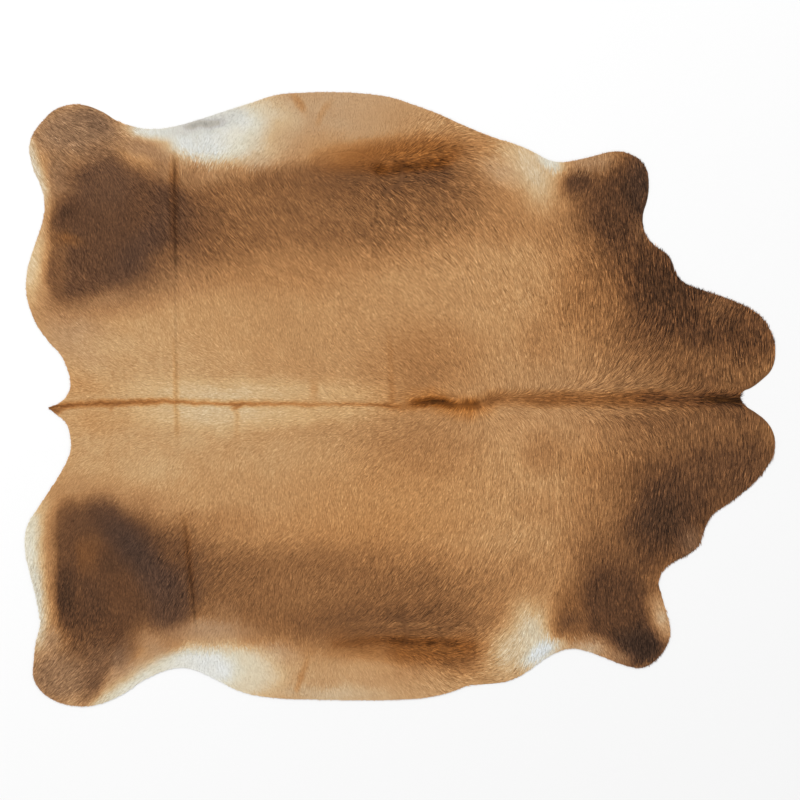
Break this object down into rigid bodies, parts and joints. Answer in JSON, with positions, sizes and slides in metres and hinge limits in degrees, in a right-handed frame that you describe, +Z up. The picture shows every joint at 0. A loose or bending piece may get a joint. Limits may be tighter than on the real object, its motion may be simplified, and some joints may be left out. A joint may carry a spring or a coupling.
{
  "type": "cowhide rug",
  "caption": "Flat one-piece cowhide rug with its hair left on, cut to the hide's own outline of legs, bellies, neck and tail root, lying on a floor.",
  "frame": {"origin": "on the flat underside, under the middle of the hide's outer box", "axes": "+X from the tail root towards the neck, +Y across the flanks, +Z up out of the coat"},
  "size_m": [2.203, 1.8018, 0.0069],
  "materials": {
    "hair_on_hide": "short lying cow hair, matt with a soft sheen"
  },
  "bodies": {
    "root": {"hide": "hair_on_hide"}
  },
  "joints": []
}
